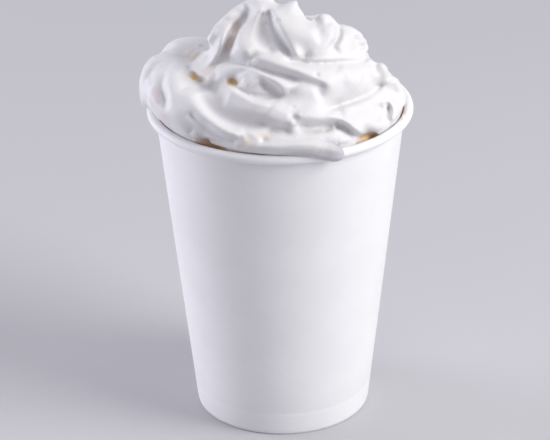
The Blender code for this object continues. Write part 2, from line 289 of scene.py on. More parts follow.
def new_group(name, takes, gives):
    """Empty node group with its sockets: takes and gives are (name, kind, default) rows."""
    tree = bpy.data.node_groups.new(name, "ShaderNodeTree")
    for rows, way in ((takes, "INPUT"), (gives, "OUTPUT")):
        for label, kind, default in rows:
            socket = tree.interface.new_socket(name=label, in_out=way, socket_type="NodeSocket" + kind)
            if default is not None:
                socket.default_value = default
    return tree, tree.nodes.new("NodeGroupInput").outputs, tree.nodes.new("NodeGroupOutput").inputs


def placed(tree, group, **values):
    """A group's node in a material, with a value or a link on each named input."""
    node = tree.nodes.new("ShaderNodeGroup")
    node.node_tree = group
    for label, value in values.items():
        fed(tree, value, node.inputs[label.replace("_", " ")])
    return node.outputs


def cloudy_tone_group():
    """Two tones that drift into each other, as a finish is never one even colour."""
    tree, given, result = new_group(
        "cloudy_tone",
        [("Place", "Vector", None), ("Scale", "Float", 90.0), ("Contrast", "Float", 0.15),
         ("Tone A", "Color", None), ("Tone B", "Color", None)],
        [("Colour", "Color", None)])
    cloud = noise(tree, given["Scale"], 3.0, 0.5, given["Place"])
    amount = spread(tree, cloud, maths(tree, "SUBTRACT", 0.5, given["Contrast"]),
                    maths(tree, "ADD", 0.5, given["Contrast"]), 0.0, 1.0)
    tree.links.new(mixed(tree, amount, given["Tone A"], given["Tone B"]), result["Colour"])
    return tree


def fine_grain_group():
    """Fine grain: its height for bump and the roughness that goes with it."""
    tree, given, result = new_group(
        "fine_grain",
        [("Place", "Vector", None), ("Scale", "Float", 700.0), ("Smoothest", "Float", 0.4),
         ("Roughest", "Float", 0.6)],
        [("Height", "Float", None), ("Roughness", "Float", None)])
    grain = noise(tree, given["Scale"], 4.0, 0.55, given["Place"])
    roughness = spread(tree, grain, 0.3, 0.7, given["Smoothest"], given["Roughest"])
    tree.links.new(grain, result["Height"])
    tree.links.new(roughness, result["Roughness"])
    return tree


def stain_and_shade_patch_group():
    """Soft mask round one place, with a ragged edge, for coffee soaked into cream or dried on board, and
    for painted shade on the cream.
    """
    tree, given, result = new_group(
        "stain_and_shade_patch",
        [("Place", "Vector", None), ("Centre", "Vector", None), ("Stretch", "Vector", (1, 1, 1)),
         ("Reach", "Float", 0.003), ("Ragged", "Float", 0.002)],
        [("Mask", "Float", None)])
    apart = vectors(tree, "SUBTRACT", given["Place"], given["Centre"])[0]
    scaled = vectors(tree, "DIVIDE", apart, given["Stretch"])[0]
    length = vectors(tree, "LENGTH", scaled)["Value"]
    wobble = maths(tree, "SUBTRACT", noise(tree, 420.0, 3.0, 0.55, given["Place"]), 0.5)
    ragged = maths(tree, "MULTIPLY_ADD", wobble, given["Ragged"], length)
    heart = maths(tree, "MULTIPLY", given["Reach"], 0.35)
    mask = spread(tree, ragged, heart, given["Reach"], 1.0, 0.0, True)
    tree.links.new(mask, result["Mask"])
    return tree


def with_patches(tree, tone, place, patch, stains):
    """Lay the patches of a list over a tone: stains, and on the cream also painted shade."""
    for colour, strength, centre, stretch, reach in stains:
        mask = placed(tree, patch, Place=place, Centre=tuple(c * MM for c in centre), Stretch=stretch,
                      Reach=reach * MM, Ragged=min(RAGGED * reach, RAGGED_MOST) * MM)["Mask"]
        tone = mixed(tree, maths(tree, "MULTIPLY", mask, strength), tone, colour)
    return tone


def paper_material(groups):
    cloudy, grainy, patch = groups
    made, tree, shader = new_material("coated_paper", Specular_IOR_Level=0.35)
    place = object_place(tree)
    tone = placed(tree, cloudy, Place=place, Scale=60.0, **PAPER_TONES)
    fibre = placed(tree, grainy, Place=place, Scale=1400.0, **SATIN)
    flecks = spread(tree, fibre["Height"], 0.3, 0.7, 0.0, 0.3)
    tone = mixed(tree, flecks, tone["Colour"], PAPER_FLECKS)
    tone = with_patches(tree, tone, place, patch, RIM_STAINS)
    relief = bumped(tree, fibre["Height"], 0.00004, 0.35)
    linked(tree, shader, Base_Color=tone, Roughness=fibre["Roughness"], Normal=relief)
    return made


def cream_material(groups):
    cloudy, grainy, patch = groups
    made, tree, shader = new_material(
        "dairy_cream", Subsurface_Weight=0.12, Subsurface_Scale=0.0008, Specular_IOR_Level=0.35)
    shader.inputs["Subsurface Radius"].default_value = (1.0, 0.75, 0.6)
    place = object_place(tree)
    tone = placed(tree, cloudy, Place=place, Scale=90.0, **CREAM_TONES)
    # Drink stains, and painted shade in the left petal's deep bowl and under the loose tail.
    tone = with_patches(tree, tone["Colour"], place, patch, CREAM_STAINS_AND_SHADE)
    soak = maths(tree, "MULTIPLY", soaked(tree, place), SOAK)
    tone = mixed(tree, soak, tone, SOAKED_CREAM)
    grain = placed(tree, grainy, Place=place, Scale=700.0, **SATIN)
    soft = maths(tree, "MULTIPLY", noise(tree, 170.0, 2.0, 0.5, place), 2.2)
    fine = maths(tree, "MULTIPLY", grain["Height"], 0.35)
    bubbles = maths(tree, "MULTIPLY", air_pits(tree, place), 2.4)
    relief = bumped(tree, maths(tree, "SUBTRACT", maths(tree, "ADD", soft, fine), bubbles), 0.00018, 0.5)
    linked(tree, shader, Base_Color=tone, Roughness=grain["Roughness"], Normal=relief)
    return made


def soaked(tree, place):
    """Mask of the cream that stands in the drink: low down, and inside the rim."""
    split = tree.nodes.new("ShaderNodeSeparateXYZ")
    tree.links.new(place, split.inputs[0])
    edge = spread(tree, noise(tree, 160.0, 2.0, 0.5, place), 0.3, 0.7, -0.0012, 0.0022)
    height = maths(tree, "ADD", split.outputs["Z"], edge)
    full, clean = (LEVEL + rise for rise in SOAK_HEIGHTS)
    low = spread(tree, height, full * MM, clean * MM, 1.0, 0.0, True)
    level = vectors(tree, "MULTIPLY", place, (1.0, 1.0, 0.0))[0]
    radius = vectors(tree, "LENGTH", level)["Value"]
    inside = spread(tree, radius, SOAK_RADII[0] * MM, SOAK_RADII[1] * MM, 1.0, 0.0)
    return maths(tree, "MULTIPLY", low, inside)


def air_pits(tree, place):
    """Mask of the few air pits that whipping leaves: small cells, most of them empty."""
    cells = tree.nodes.new("ShaderNodeTexVoronoi")
    cells.inputs["Scale"].default_value = 120.0
    tree.links.new(place, cells.inputs["Vector"])
    pick = tree.nodes.new("ShaderNodeSeparateColor")
    tree.links.new(cells.outputs["Color"], pick.inputs[0])
    chosen = spread(tree, pick.outputs[0], 0.86, 0.87, 0.0, 1.0)
    pit = spread(tree, cells.outputs["Distance"], 0.05, 0.14, 1.0, 0.0, True)
    return maths(tree, "MULTIPLY", pit, chosen)


def mocha_material(groups):
    cloudy, grainy = groups[:2]
    made, tree, shader = new_material("milky_coffee", Subsurface_Weight=0.2, Subsurface_Scale=0.0015)
    shader.inputs["Subsurface Radius"].default_value = (1.0, 0.5, 0.3)
    place = object_place(tree)
    tone = placed(tree, cloudy, Place=place, Scale=110.0, **DRINK_TONES)
    froth = placed(tree, grainy, Place=place, Scale=420.0, **WET)
    foam = spread(tree, froth["Height"], 0.55, 0.72, 0.0, 0.7)
    tone = mixed(tree, foam, tone["Colour"], DRINK_FOAM)
    relief = bumped(tree, froth["Height"], 0.0003, 0.5)
    linked(tree, shader, Base_Color=tone, Roughness=froth["Roughness"], Normal=relief)
    return made


# ---- the cup ----
def cup_outline():
    """Hem, foot fold, wall and rolled rim, as the middle line of one sheet of board."""
    step = BOARD + 2 * GAP + BOARD + BOARD
    half = step / 2
    middle = wall_centre(half) - half
    low = BOARD / 2
    line = [(wall_centre(height) - step, height) for height in (HEM_HEIGHT, 4.0)]
    line += [(middle + out * half, low + up * half) for out, up in FOOT_FOLD]
    line += [(wall_centre(height), height) for height in (2.0, 4.5, 7.0)]
    line += [(wall_centre(height) - depth, height) for height, depth in HEM_CREASE]
    for k in range(1, 13):
        height = HEM_CREASE[-1][0] + WALL_STEP * k
        line.append((wall_centre(height), height))
    line += [(wall_centre(height) - depth, height) for height, depth in RIM_CREASE]
    roll = BEAD - BOARD / 2
    for k in range(ROLL_STEPS + 1):
        turn = math.radians(180.0 - ROLL_TURN * k)
        line.append((BEAD_RADIUS + roll * math.cos(turn), BEAD_HEIGHT + roll * math.sin(turn)))
    return line


def paper_cup(look):
    cup = ringed("paper_cup", cup_outline())
    modified(cup, ("Board", "SOLIDIFY", {"thickness": BOARD * MM, "offset": 0.0, "use_even_offset": True}))
    bpy.ops.object.mode_set(mode="EDIT")
    face_outward()
    smooth(cup, 50.0)
    cup.data.materials.append(look)
    place_piece(cup, "white_paper", "cup_wall")


# ---- the drink ----
def drink(look):
    outline = [(radius, LEVEL + rise) for radius, rise in MENISCUS]
    outline.append((wall_centre(LEVEL) - INTO_WALL, LEVEL + CLIMB))
    outline += [(wall_centre(height) - INTO_WALL, height) for height in (LEVEL - 1.0, 60.0, DRINK_FOOT)]
    body = ringed("mocha_drink", outline, closed_top=True, closed_foot=True)
    smooth(body, 60.0)
    body.data.materials.append(look)
    place_piece(body, "mocha", "mocha")


# ---- the front view, in which the guide curves of the cream are drawn ----
VIEW_PLACE = (-2.18, -840.21, 473.54)  # in mm
VIEW_POINT = Vector(VIEW_PLACE) * MM
VIEW_PITCH = math.radians(25.77)
VIEW_ROLL = math.radians(-0.71)
VIEW_AHEAD = Vector((0, math.cos(VIEW_PITCH), -math.sin(VIEW_PITCH)))
VIEW_LEVEL = Vector((1, 0, 0))
VIEW_UP = VIEW_LEVEL.cross(VIEW_AHEAD)
VIEW_SIDE = math.cos(VIEW_ROLL) * VIEW_LEVEL + math.sin(VIEW_ROLL) * VIEW_UP
VIEW_TOP = -math.sin(VIEW_ROLL) * VIEW_LEVEL + math.cos(VIEW_ROLL) * VIEW_UP
VIEW_CENTRE = (275.0, 220.0)  # in steps of the view from its top left corner
VIEW_REACH = 2708.0  # focal length in the same steps
VIEW_LENS = 177.25
VIEW_SENSOR = 36.0

# ---- the cream ----
# One rope of cream piped clockwise, from its start low at the front up to the peak:
# (way round in degrees, radius, height above the rim, half thickness).
ROPE = [
    (259, 41.0, 1.0, 4.0), (246, 38.5, 2.5, 6.5), (230, 37.0, 4.0, 8.5), (215, 36.3, 6.0, 10.0),
    (198, 36.6, 7.4, 11.3), (180, 36.6, 7.8, 11.5), (160, 35.0, 7.5, 11.2), (140, 33.2, 6.2, 10.4),
    (110, 32.5, 4.0, 9.5), (75, 33.0, 2.5, 9.5), (40, 33.5, 1.0, 9.5), (10, 34.2, 0.0, 9.5),
    (-15, 34.2, 0.0, 9.5), (-40, 33.0, 0.4, 9.8), (-60, 32.5, 1.2, 9.8), (-80, 31.5, 4.0, 9.6),
    (-100, 28.5, 7.5, 10.0), (-120, 25.5, 10.0, 10.0), (-150, 22.5, 11.5, 10.0), (-190, 21.0, 11.5, 9.5),
    (-230, 20.0, 11.0, 9.5), (-270, 20.5, 10.5, 9.5), (-310, 22.5, 10.0, 9.0), (-345, 24.0, 9.8, 9.0),
    (-370, 25.0, 11.0, 9.3), (-395, 25.5, 13.0, 10.0), (-420, 23.5, 14.5, 10.5), (-450, 21.0, 16.5, 10.5),
    (-480, 17.5, 19.0, 10.5), (-510, 15.5, 21.0, 11.0), (-540, 15.6, 22.6, 11.4), (-580, 12.5, 20.5, 10.0),
    (-620, 12.0, 18.6, 9.5), (-660, 13.8, 18.6, 9.3), (-700, 16.3, 19.2, 9.3), (-730, 17.2, 21.0, 9.2),
    (-760, 15.5, 24.0, 9.5), (-790, 12.0, 27.0, 9.0), (-820, 8.5, 30.0, 8.0), (-850, 6.0, 33.0, 6.5),
    (-880, 4.5, 36.3, 4.2), (-905, 4.0, 38.5, 2.3), (-920, 3.5, 40.2, 0.9),
]
# Sideways lean of the heap by height above the rim.
LEAN = [(-5.0, 0.0), (10.0, 0.0), (23.0, 2.4), (31.0, 1.0), (41.0, -2.5)]
# Loose tail of the rope, lying over the rim:
# (way round, radius, height above the rim, half thickness, roundness of the section).
TAIL = [
    (236, 40.6, 1.2, 1.0, 0.0), (250, 42.0, 1.8, 1.6, 0.0), (264, 42.8, 2.3, 2.2, 0.0),
    (274, 43.1, 2.5, 2.6, 0.1), (281, 43.6, 2.4, 3.1, 0.4), (286, 44.2, 1.8, 3.5, 0.8),
    (290, 44.8, 0.9, 3.6, 1.0), (293, 45.2, 0.1, 3.2, 1.0), (295.2, 45.4, -0.4, 2.3, 1.0),
    (296.4, 45.5, -0.6, 1.0, 1.0),
]
# Section of the tail, outward and upward, in half thicknesses.
LIP_SECTION = [
    (1.08, 0.42), (0.98, 0.78), (0.55, 1.0), (-0.2, 0.95), (-0.9, 0.5), (-1.1, -0.3), (-0.8, -0.9),
    (-0.3, -1.05), (0.35, -0.92), (0.8, -0.38),
]
# Cream under the rope, turned round the cup's middle: (radius, height above the rim).
FILL = [(36.0, 2.3), (37.0, 2.0), (39.5, -2.6)]
HEART = [(1.0, 36.2), (4.0, 34.0), (11.0, 28.5), (17.0, 22.0), (20.5, 15.0), (28.0, 6.0), (30.0, 0.0)]
HEART_SHIFT = (-3.0, -2.0)  # sideways, in mm
FLUTE = 1.8  # how far the rope is drawn thinner, to leave room for its folds
FLUTE_SHARE = 0.36  # and at most, as a share of its half thickness
FOLD_LIFT = 1.3  # common factor on the fold heights
FOLD_POWER = 1.8  # sharpness of a fold's crest: its flanks are hollow above 1
FOLD_UNDERCUT = 0.22  # how much narrower a fold is on its under side
FOLD_END = 0.15  # share of a fold's length over which each end fades
GUIDE_END = 0.12  # the same for a guide curve
FOLD_SKIN = 0.8  # how little the distance through the skin counts, near a fold
GUIDE_SKIN = 0.7  # and near a guide curve: 1 is not at all
EDGE_SHARE = 0.75  # reach of an outline, as a share of a guide curve's
MERGE = 5  # power by which crossing folds merge: the highest counts most
CLOSING = 4.0  # how far the rope is swelled and drawn back, in mm
COARSE_VOXEL = 0.8  # grid in mm while the turns are fused
VOXEL = 0.5  # grid in mm before the folds are raised
SKIN_VOXEL = 0.5  # grid in mm of the finished skin
SUNK = 0.4  # how deep the cream reaches into the drink
INTO_BEAD = 0.08  # and into the rim's bead
# Folds round the far side of each turn of the rope:
# first way, last way, folds, sweep of one fold, height, half width.
FAR_TURNS = [(148, 8, 5, 62, 2.4, 6.5), (-235, -365, 4, 66, 2.4, 6.5), (-585, -700, 4, 70, 2.2, 6.0)]
REACH = 8.0  # how far a guide curve is felt, in mm
CREAM_AROUND = 60  # steps round the cream under the rope
CUT_DEPTH = 14.0  # how far under the rim the cut for the cup reaches, in mm
# Where the cream stands back from the rim: way round, half width of the gap, depth in mm.
RIM_GAPS = [(238, 9, 2.8), (314, 7, 0.9), (352, 26, 0.6)]
MOUTH_OVER = 0.2  # how far past the bead's inner side the low cream may reach, in mm
MOUTH_FREE = 1.2  # height above the rim where the cream may start to spread
MOUTH_SPREAD = 2.0  # and how far it may spread for each mm above that
# Ring of cream that meets the cup: way round, radius, height above the rim, half thickness.
SKIRT = [
    (0, 34.8, 0.6, 3.2), (40, 36.5, 0.8, 3.4), (90, 37.5, 0.6, 3.6), (140, 38.0, 0.6, 3.6),
    (180, 38.6, 0.8, 3.8), (222, 38.4, 0.6, 3.6), (232, 36.8, 0.2, 3.0), (242, 36.8, 0.2, 3.0),
    (250, 38.4, 0.6, 3.6), (280, 38.6, 0.6, 3.6), (302, 38.4, 0.6, 3.6), (309, 37.0, 0.2, 3.0),
    (319, 37.0, 0.2, 3.0), (326, 38.4, 0.6, 3.6), (342, 36.0, 0.6, 3.2), (360, 34.8, 0.6, 3.2),
]
# Air pits: view point of each, radius and depth in mm.
PITS = [
    (317, 74, 1.1, 1.0), (293, 107, 0.9, 0.6), (303, 113, 0.7, 0.6), (326, 130, 1.1, 0.8),
    (337, 128, 0.9, 0.7), (266, 25, 0.8, 0.7), (268, 42, 0.7, 0.6), (352, 53, 1.1, 0.9),
    (355, 40, 0.9, 0.8), (345, 77, 0.7, 0.6),
]
# Outlines of the cream against what lies behind it, in the front view, and how far off each one is, in m.
OUTLINES = [
    ("left", 0.910, [(143, 105), (141, 103), (139.5, 92), (139.5, 80), (144, 66), (151, 57.5), (157, 54.5),
                     (160, 55)]),
    ("back_left", 0.924, [(160, 55), (164, 48), (171, 41.5), (182, 37.5), (195, 37), (207, 38)]),
    ("petal", 0.893, [(207, 38), (210, 33), (215, 25), (222, 18), (232, 9), (243, 2), (252, -2)]),
    ("peak", 0.897, [(252, -2), (257, -6), (263, -10), (268, -8), (272, -2), (275, 2)]),
    ("knob", 0.897, [(275, 2), (281, 4), (290, 1.5), (297, 0.5), (298, 5), (302, 11), (307, 15.5),
                     (314, 15.5)]),
    ("curl", 0.901, [(314, 15.5), (322, 13.6), (329, 14.5), (335, 20), (338, 24), (345, 24.5), (355, 28.5),
                     (364, 36), (368, 44), (368.5, 50), (366, 56)]),
    ("right", 0.899, [(366, 56), (371, 59), (376, 62.5), (383, 63), (388, 69), (389, 76)]),
    ("far_right", 0.902, [(389, 76), (397, 78), (400, 83), (403, 90)]),
]
OUTLINE_START = (125.0, 150.0)  # where the whole outline meets the cup, at the left
OUTLINE_END = (428.0, 130.0)  # and at the right
OUTLINE_MISS = 0.012  # a sight line that lands this far behind its outline, in m, has missed it
EDGE_REACHES = (4.5, 3.0)  # reach in mm of the outlines in the last rounds
SEARCH_FROM = 0.9  # distance in m at which a search along a sight line starts
BEYOND = 1.5  # distance in m that is past the object
# How sharply the blend of the guide curves turns to the nearest one.
CREST_POWER = 1.15
HOLLOW_POWER = 2.0
OUTLINE_POWER = 1.2
# Crests and hollows of the front, drawn in the front view: name, rise in mm, guide points.
CRESTS = [
    ("petal_rim", 5.4, [(250, 5), (238, 12), (227, 21), (219, 31), (216, 43), (214, 53), (216, 63)]),
    ("left_petal_lip", 3.2, [(216, 68), (221, 71), (229, 68), (240, 67), (254, 69), (263, 74)]),
    ("second_petal", 5.2, [(264, 2), (257, 13), (250, 22), (244, 31), (242, 38), (245, 47), (251, 57)]),
    ("middle_petal", 5.2, [(273, 5), (277, 16), (283, 29), (290, 42), (296, 52), (301, 58)]),
    ("knob_lip", 4.8, [(274, 8), (284, 15), (294, 23), (302, 29), (309, 32), (317, 31)]),
    ("curl", 4.2, [(313, 10), (319, 16), (326, 24), (331, 31), (331, 38), (326, 45), (317, 51), (306, 57)]),
    ("curl_back", 3.0, [(336, 14), (343, 22), (346, 32), (343, 42), (336, 50)]),
    ("top_hem", 2.4, [(366, 47), (365, 54), (357, 57), (340, 58), (320, 59), (302, 59)]),
    ("under_second", 3.6, [(251, 58), (264, 58), (276, 61), (291, 67), (305, 73), (322, 81), (342, 88)]),
    ("third_lip", 3.6, [(258, 71), (267, 77), (276, 81), (282, 87), (286, 93)]),
    ("third_swell", 3.0, [(246, 70), (249, 78), (252, 86)]),
    ("broad_face", 2.3, [(340, 66), (352, 74), (362, 84)]),
    ("right_knuckle", 3.1, [(376, 64), (384, 66), (387, 73)]),
    ("lower_front", 3.8, [(226, 90), (234, 92), (242, 96), (255, 103), (270, 107), (284, 114), (293, 117)]),
    ("lower_swell", 3.1, [(318, 92), (306, 100), (296, 110), (293, 117)]),
    ("low_brow", 5.0, [(293, 117), (304, 114), (319, 114), (333, 116), (346, 121), (357, 130), (364, 134)]),
    ("right_tier", 2.9, [(396, 84), (386, 92), (372, 100), (356, 107), (340, 112)]),
    ("right_brow", 2.6, [(370, 103), (380, 99), (392, 100)]),
    ("right_edge", 3.4, [(395, 98), (396, 107), (395, 116), (393, 123)]),
    ("right_fold", 3.1, [(341, 115), (355, 118), (365, 121), (376, 126), (384, 128)]),
    ("front_lobe", 3.8, [(188, 88), (191, 98), (198, 110), (210, 121), (224, 130), (234, 134), (246, 135)]),
    ("left_lobe", 3.0, [(177, 68), (173, 77), (172, 88), (175, 98), (182, 106), (194, 116), (206, 128)]),
    ("back_left_fin", 3.2, [(180, 56), (187, 49), (193, 43), (201, 41)]),
    ("small_fold", 3.0, [(208, 56), (200, 60), (196, 66), (199, 72), (207, 76), (214, 75)]),
    ("rim_lobe", 3.6, [(146, 104), (158, 109), (168, 121), (178, 130), (192, 138)]),
    ("rim_nub", 2.6, [(192, 132), (195, 139), (197, 145)]),
    ("bottom_patch", 3.4, [(240, 137), (250, 134), (258, 139), (260, 146)]),
    ("last_wave", 3.4, [(270, 107), (280, 113), (292, 118), (290, 126)]),
    ("front_ridge", 2.6, [(262, 141), (276, 138), (292, 141), (310, 141), (326, 138), (342, 135)]),
]
HOLLOWS = [
    ("wave_foot", -0.6, [(268, 130), (280, 130), (288, 132)]),
    ("stroke_end", 0.8, [(300, 80), (310, 83), (322, 85)]),
    ("left_shelf", -1.6, [(197, 88), (208, 88), (220, 90)]),
    ("left_petal_bowl", -1.0, [(253, 9), (244, 17), (237, 27), (232, 38), (228, 49), (224, 60)]),
    ("second_bowl", -0.2, [(268, 13), (271, 24), (276, 35), (282, 45), (289, 54)]),
    ("second_floor", 1.6, [(262, 16), (262, 28), (264, 40), (270, 50)]),
    ("curl_pocket", -4.6, [(305, 18), (310, 22), (316, 23), (321, 19)]),
    ("curl_furrow", -1.8, [(330, 15), (336, 22), (339, 31), (337, 40), (331, 47)]),
    ("outer_bowl", -0.6, [(356, 38), (359, 46), (354, 53)]),
    ("under_top_hem", -1.3, [(366, 60), (350, 62), (330, 63), (308, 63), (290, 61)]),
    ("under_second_bowl", -1.4, [(224, 60), (236, 62), (250, 66), (262, 70), (276, 74), (288, 77),
                                 (298, 79)]),
    ("third_wall", -0.6, [(262, 82), (268, 88), (277, 93)]),
    ("under_third", -1.2, [(238, 88), (246, 93), (256, 97), (268, 97), (280, 95)]),
    ("tier_line", -2.3, [(379, 86), (369, 94), (355, 100), (341, 105), (326, 110)]),
    ("under_lower_front", 0.4, [(204, 97), (212, 110), (224, 120), (238, 124), (252, 125), (264, 124)]),
    ("under_brow", -2.2, [(334, 124), (342, 127), (350, 132), (357, 137)]),
    ("brow_wall", -2.2, [(299, 126), (312, 128), (324, 127), (333, 126)]),
    ("right_bowl", -2.2, [(388, 104), (388, 111), (385, 118)]),
    ("right_floor", -2.0, [(381, 105), (379, 112), (376, 117)]),
    ("right_nick", 0.6, [(387, 89), (394, 88), (401, 90)]),
    ("gold_pocket", -3.0, [(357, 138), (366, 136), (375, 138)]),
    ("under_front_lobe", 0.6, [(190, 114), (204, 127), (220, 137), (234, 141)]),
    ("left_furrow", -1.4, [(167, 64), (163, 77), (162, 91), (165, 103)]),
    ("inner_furrow", -1.2, [(187, 66), (187, 76)]),
    ("back_left_bowl", -2.0, [(204, 46), (194, 54), (188, 62)]),
    ("olive_pocket", -3.2, [(190, 72), (196, 78), (203, 82)]),
    ("gold_notch", -2.2, [(229, 80), (234, 83), (238, 86)]),
    ("rim_hollow", -2.6, [(198, 136), (206, 141), (216, 145), (228, 147)]),
]


def smooth_path(points, steps):
    """Catmull-Rom curve through the points."""
    given = np.array(points, float)
    padded = np.vstack([2 * given[0] - given[1], given, 2 * given[-1] - given[-2]])
    path = []
    for a, b, c, d in zip(padded, padded[1:], padded[2:], padded[3:]):
        for t in np.arange(steps) / steps:
            path.append(0.5 * (2 * b + (c - a) * t + (2 * a - 5 * b + 4 * c - d) * t ** 2
                               + (3 * b - a - 3 * c + d) * t ** 3))
    path.append(given[-1])
    return np.array(path)


def spot(azimuth, radius, height):
    """Point in mm from azimuth, radius and height above the rim."""
    turn = np.radians(azimuth)
    return np.stack([radius * np.cos(turn), radius * np.sin(turn), CUP_HEIGHT + height + 0 * turn], axis=-1)


def rope_path():
    path = smooth_path(ROPE, 5)
    centre = spot(path[:, 0], path[:, 1], path[:, 2])
    lean = np.array(LEAN)
    centre[:, 0] += np.interp(path[:, 2], lean[:, 0], lean[:, 1])
    return path[:, 0], centre, path[:, 3]


def far_fold(way, sweep):
    """Fold that runs from the inner top of the rope to its outer underside."""
    ways, centre, size = rope_path()
    u = np.linspace(0.0, 1.0, 24)
    at = way + sweep * u
    section = np.radians(115.0 - 150.0 * u)
    middle = np.stack([np.interp(-at, -ways, centre[:, k]) for k in range(3)], axis=-1)
    reach = np.interp(-at, -ways, size)
    turn = np.radians(at)
    out = np.stack([np.cos(turn), np.sin(turn), 0 * turn], axis=-1)
    lift = np.array([0.0, 0.0, 1.0])
    return middle + reach[:, None] * (np.cos(section)[:, None] * out + np.sin(section)[:, None] * lift)


def all_folds():
    folds = []
    for first, last, count, sweep, height, width in FAR_TURNS:
        for k in range(count):
            way = first + (last - first) * k / (count - 1)
            folds.append((far_fold(way, sweep), height, width))
    return folds


def box_round(points, curve, reach):
    """Which points lie in the box round a curve, grown by reach."""
    return np.flatnonzero(((points > curve.min(0) - reach) & (points < curve.max(0) + reach)).all(1))


def nearest_on(points, normals, curve, skin_share):
    """Distance of points to a curve, the place on it from 0 to 1, and the way from there."""
    best = np.full(len(points), 1e9)
    on = np.zeros(len(points))
    way = np.zeros(points.shape)
    for k in range(len(curve) - 1):
        a, b = curve[k], curve[k + 1]
        along = np.clip((points - a) @ (b - a) / max((b - a) @ (b - a), 1e-6), 0.0, 1.0)
        away = points - (a + along[:, None] * (b - a))
        through = np.einsum("ij,ij->i", away, normals)
        gap = np.sqrt(np.maximum((away ** 2).sum(1) - skin_share * through ** 2, 0.0))
        closer = gap < best
        best = np.where(closer, gap, best)
        on = np.where(closer, (k + along) / (len(curve) - 1), on)
        way[closer] = away[closer]
    return best, on, way


def faded(on, end):
    """Share of the full height along a curve, less over its ends."""
    fade = np.clip(np.minimum(on, 1.0 - on) / end, 0.0, 1.0)
    return 0.3 + 0.7 * fade * (2.0 - fade)


def fold_rise(points, normals, curve, height, width):
    """Height a fold adds at each point: sharp crest, hollow flanks, faded ends."""
    rise = np.zeros(len(points))
    near = box_round(points, curve, 1.6 * width)
    x, y = points[near, 0], points[near, 1]
    gap, on, way = nearest_on(points[near], normals[near], curve, FOLD_SKIN)
    outward = (way[:, 0] * x + way[:, 1] * y) / np.hypot(x, y).clip(1.0)
    wide = width * (1.0 - FOLD_UNDERCUT * np.tanh((outward - way[:, 2]) / 2.0))
    reach = np.sqrt(gap ** 2 + 0.05) / wide
    rise[near] = height * faded(on, FOLD_END) * np.clip(1.0 - reach, 0.0, 1.0) ** FOLD_POWER
    return rise


def eased(values, ends, rounds):
    """Average values over neighbouring points."""
    share = np.bincount(ends.ravel(), minlength=len(values)).clip(1)
    for _ in range(rounds):
        summed = np.zeros_like(values)
        np.add.at(summed, ends[:, 0], values[ends[:, 1]])
        np.add.at(summed, ends[:, 1], values[ends[:, 0]])
        values = 0.5 * values + 0.5 * (summed.T / share).T
    return values


def front_ray(across, down):
    """Line of sight of a front-view guide point, in steps of the view from its top left corner."""
    offset = VIEW_SIDE * float(across - VIEW_CENTRE[0]) - VIEW_TOP * float(down - VIEW_CENTRE[1])
    return (VIEW_REACH * VIEW_AHEAD + offset).normalized()


def nearest_to(tree, sight, start):
    """Skin point nearest to a line of sight that passes beside the cream, in mm."""
    reach = start
    for _ in range(6):
        place = tree.find_nearest(VIEW_POINT + sight * reach)[0]
        reach = (place - VIEW_POINT).dot(sight)
    return np.array(place) / MM, (VIEW_POINT + sight * reach - place).length / MM


def dropped(tree, guide, rise, far, count=30):
    """Guide curve laid on the cream along the lines of sight: points in mm and the rise at each."""
    marks = smooth_path(guide, max(2, count // (len(guide) - 1)))
    places, rises = [], []
    for across, down in marks:
        sight = front_ray(across, down)
        entry = tree.ray_cast(VIEW_POINT, sight)
        if entry[0] is None or (rise is None and entry[3] > far + OUTLINE_MISS):
            place, beside = nearest_to(tree, sight, far)
            places.append(place)
            rises.append(beside if rise is None else rise)
        elif rise is not None:
            places.append(np.array(entry[0]) / MM)
            rises.append(rise)
        else:
            leave = tree.ray_cast(VIEW_POINT + sight * BEYOND, -sight)
            middle = (entry[0] + (leave[0] or entry[0])) / 2
            place = tree.find_nearest(middle)[0]
            places.append(np.array(place) / MM)
            rises.append(-(middle - place).length / MM)
    places, rises = np.array(places), np.array(rises)
    if rise is None:
        for _ in range(3):
            rises = np.convolve(np.pad(rises, 1, mode="edge"), (0.25, 0.5, 0.25), mode="valid")
    return places, rises


def distance_along(points, normals, curve, reach):
    """Distance to a curve, mostly along the skin, for the points within reach."""
    near = box_round(points, curve, reach)
    gap, on, _ = nearest_on(points[near], normals[near], curve, GUIDE_SKIN)
    keep = gap < reach
    return near[keep], gap[keep], on[keep]


def front_relief(item, points, normals, guides, widest):
    """Moves of the front: every point takes a blend of the guide curves near it, by closeness."""
    tree = bvhtree.BVHTree.FromObject(item, bpy.context.evaluated_depsgraph_get())
    sight = towards_view(points)
    moves = np.zeros(points.shape)
    weight = np.full(len(points), 1e-4)
    hold = np.zeros(len(points))
    facing = np.clip(((normals * sight).sum(1) + 0.05) / 0.35, 0.0, 1.0)
    for _, rise, guide, power, far in guides:
        curve, rises = dropped(tree, guide, rise, far)
        reach = widest * (EDGE_SHARE if rise is None else 1.0)
        near, gap, on = distance_along(points, normals, curve, reach)
        fade = 1.0 if rise is None else faded(on, GUIDE_END)
        value = np.interp(on * (len(rises) - 1), np.arange(len(rises)), rises) * fade
        share = ((reach - gap) / (reach * (gap + 0.12))) ** power * (0.3 + 0.7 * fade)
        way = normals[near] if rise is None else sight[near]
        moves[near] += (share * value)[:, None] * way
        weight[near] += share
        grip = 1.0 - (gap / reach) ** 2
        hold[near] = np.maximum(hold[near], grip if rise is None else grip * facing[near])
    hold = np.clip(hold * 2.0, 0.0, 1.0)
    return moves * (hold / weight)[:, None]


def towards_view(points):
    """Directions from points in mm to where the front view is seen from."""
    sight = np.array(VIEW_POINT) / MM - points
    return sight / np.linalg.norm(sight, axis=1)[:, None]


def seen_at(points):
    """Front-view place and depth of points in mm."""
    away = points - np.array(VIEW_POINT) / MM
    depth = away @ np.array(VIEW_AHEAD)
    across = VIEW_CENTRE[0] + VIEW_REACH * (away @ np.array(VIEW_SIDE)) / depth
    down = VIEW_CENTRE[1] - VIEW_REACH * (away @ np.array(VIEW_TOP)) / depth
    return np.stack([across, down], axis=-1), depth


